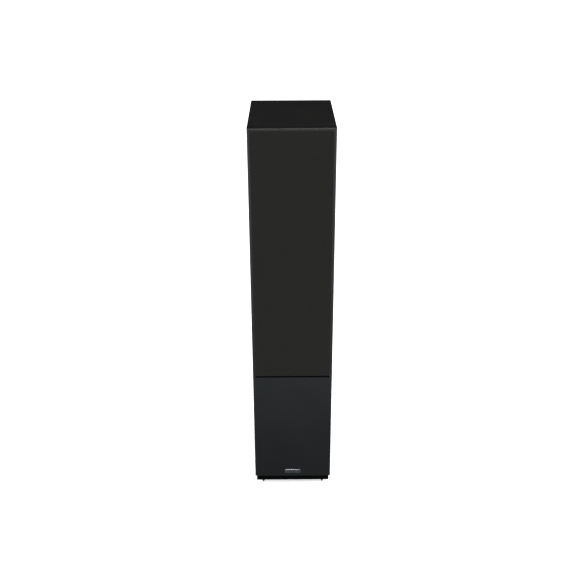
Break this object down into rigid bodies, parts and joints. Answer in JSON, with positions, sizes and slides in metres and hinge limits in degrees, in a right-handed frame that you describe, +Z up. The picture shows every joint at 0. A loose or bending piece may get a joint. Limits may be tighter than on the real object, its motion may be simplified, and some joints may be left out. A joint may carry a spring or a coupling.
{
  "type": "floorstanding speaker",
  "caption": "Slim black floorstanding loudspeaker with a pull-off cloth grille over its drivers, a rear reflex port, binding posts and a spiked plinth.",
  "frame": {"origin": "on the floor, under the middle of the bounding box", "axes": "+Z up, +X to the speaker's right-hand side as seen from the front, front face towards -Y"},
  "size_m": [0.21, 0.332, 1.024],
  "materials": {
    "cabinet_wrap": "textured black ash vinyl wrap over MDF, matt",
    "baffle_satin": "smooth satin black lacquer over MDF",
    "bare_mdf": "raw sanded MDF",
    "plinth_black": "matt black painted MDF",
    "grille_fabric": "black stretched knitted acoustic cloth",
    "moulded_black": "fine-textured black ABS",
    "cast_basket": "black powder-coated aluminium casting",
    "zinc_steel": "zinc-plated mild steel",
    "ferrite": "sintered ferrite",
    "surround_rubber": "moulded butyl rubber, satin",
    "cone_paper": "pressed paper pulp with a grey coating",
    "cap_coated": "coated paper dust cap, satin",
    "dome_silk": "doped silk",
    "spider_cloth": "resin-dipped cotton cloth",
    "coil_copper": "enamelled copper on a kapton former",
    "spike_chrome": "turned steel, nickel plated",
    "brass_insert": "turned brass",
    "gold_plate": "gold-plated brass",
    "screw_black": "black oxide steel",
    "badge_metal": "dark brushed aluminium",
    "red_plastic": "translucent red polycarbonate",
    "black_gloss_plastic": "black polycarbonate",
    "board_green": "glass-fibre board with solder mask",
    "component_mix": "wound coils, film capacitors and resistors",
    "wire_pvc": "PVC wire insulation",
    "wadding_white": "lofted polyester wadding"
  },
  "bodies": {
    "root": {"badge_plate": "badge_metal", "binding_post_stems": "gold_plate", "bottom_panel": "cabinet_wrap", "crossover_board": "board_green", "crossover_components": "component_mix", "damping_wadding": "wadding_white", "front_baffle": "baffle_satin", "grille_sockets": "surround_rubber", "internal_wiring": "wire_pvc", "left_side_panel": "cabinet_wrap", "lower_woofer_basket": "cast_basket", "lower_woofer_magnet": "ferrite", "lower_woofer_motor_steel": "zinc_steel", "lower_woofer_spider": "spider_cloth", "lower_woofer_surround": "surround_rubber", "midrange_basket": "cast_basket", "midrange_chamber": "bare_mdf", "midrange_magnet": "ferrite", "midrange_motor_steel": "zinc_steel", "midrange_spider": "spider_cloth", "midrange_surround": "surround_rubber", "mounting_screws": "screw_black", "plinth": "plinth_black", "rear_panel": "cabinet_wrap", "reflex_port": "moulded_black", "right_side_panel": "cabinet_wrap", "spike_inserts": "brass_insert", "terminal_plate": "moulded_black", "top_panel": "cabinet_wrap", "tweeter_faceplate": "moulded_black", "tweeter_magnet": "ferrite", "tweeter_motor_steel": "zinc_steel", "tweeter_surround": "dome_silk", "upper_woofer_basket": "cast_basket", "upper_woofer_magnet": "ferrite", "upper_woofer_motor_steel": "zinc_steel", "upper_woofer_spider": "spider_cloth", "upper_woofer_surround": "surround_rubber", "window_braces": "bare_mdf"},
    "grille": {"grille_frame": "moulded_black", "grille_cloth": "grille_fabric"},
    "tweeter_diaphragm": {"tweeter_dome": "dome_silk", "tweeter_voice_coil": "coil_copper"},
    "midrange_diaphragm": {"midrange_cone": "cone_paper", "midrange_dust_cap": "cap_coated", "midrange_voice_coil": "coil_copper"},
    "upper_woofer_diaphragm": {"upper_woofer_cone": "cone_paper", "upper_woofer_dust_cap": "cap_coated", "upper_woofer_voice_coil": "coil_copper"},
    "lower_woofer_diaphragm": {"lower_woofer_cone": "cone_paper", "lower_woofer_dust_cap": "cap_coated", "lower_woofer_voice_coil": "coil_copper"},
    "front_left_spike": {"front_left_spike": "spike_chrome"},
    "front_right_spike": {"front_right_spike": "spike_chrome"},
    "rear_left_spike": {"rear_left_spike": "spike_chrome"},
    "rear_right_spike": {"rear_right_spike": "spike_chrome"},
    "red_collar": {"red_post_collar": "red_plastic"},
    "red_knob": {"red_post_knob": "red_plastic"},
    "black_collar": {"black_post_collar": "black_gloss_plastic"},
    "black_knob": {"black_post_knob": "black_gloss_plastic"}
  },
  "joints": [
    {"name": "grille_pull", "type": "slide", "parent": "root", "child": "grille", "axis": [0, -1, 0], "range_m": [0, 0.2]},
    {"name": "tweeter_travel", "type": "slide", "parent": "root", "child": "tweeter_diaphragm", "axis": [0, -1, 0], "range_m": [-0.0003, 0.0003], "stiffness_N_per_m": 1000, "deforming": ["tweeter_surround"]},
    {"name": "midrange_travel", "type": "slide", "parent": "root", "child": "midrange_diaphragm", "axis": [0, -1, 0], "range_m": [-0.0025, 0.0025], "stiffness_N_per_m": 2000, "deforming": ["midrange_surround", "midrange_spider"]},
    {"name": "upper_woofer_travel", "type": "slide", "parent": "root", "child": "upper_woofer_diaphragm", "axis": [0, -1, 0], "range_m": [-0.004, 0.004], "stiffness_N_per_m": 1400, "deforming": ["upper_woofer_surround", "upper_woofer_spider"]},
    {"name": "lower_woofer_travel", "type": "slide", "parent": "root", "child": "lower_woofer_diaphragm", "axis": [0, -1, 0], "range_m": [-0.004, 0.004], "stiffness_N_per_m": 1400, "deforming": ["lower_woofer_surround", "lower_woofer_spider"]},
    {"name": "front_left_spike_adjust", "type": "slide", "parent": "root", "child": "front_left_spike", "axis": [0, 0, -1], "range_m": [0, 0.008]},
    {"name": "front_right_spike_adjust", "type": "slide", "parent": "root", "child": "front_right_spike", "axis": [0, 0, -1], "range_m": [0, 0.008]},
    {"name": "rear_left_spike_adjust", "type": "slide", "parent": "root", "child": "rear_left_spike", "axis": [0, 0, -1], "range_m": [0, 0.008]},
    {"name": "rear_right_spike_adjust", "type": "slide", "parent": "root", "child": "rear_right_spike", "axis": [0, 0, -1], "range_m": [0, 0.008]},
    {"name": "red_collar_slide", "type": "slide", "parent": "root", "child": "red_collar", "axis": [0, 1, 0], "range_m": [0, 0.005]},
    {"name": "red_knob_turn", "type": "hinge", "parent": "red_collar", "child": "red_knob", "pos_m": [0.0095, 0.15, 0.144], "axis": [0, 1, 0], "range_deg": [0, 1800]},
    {"name": "black_collar_slide", "type": "slide", "parent": "root", "child": "black_collar", "axis": [0, 1, 0], "range_m": [0, 0.005]},
    {"name": "black_knob_turn", "type": "hinge", "parent": "black_collar", "child": "black_knob", "pos_m": [-0.0095, 0.15, 0.144], "axis": [0, 1, 0], "range_deg": [0, 1800]}
  ],
  "couplings": [
    {"joint": "red_knob_turn", "follows": "red_collar_slide", "rad_per_m": 6283.2},
    {"joint": "black_knob_turn", "follows": "black_collar_slide", "rad_per_m": 6283.2}
  ]
}
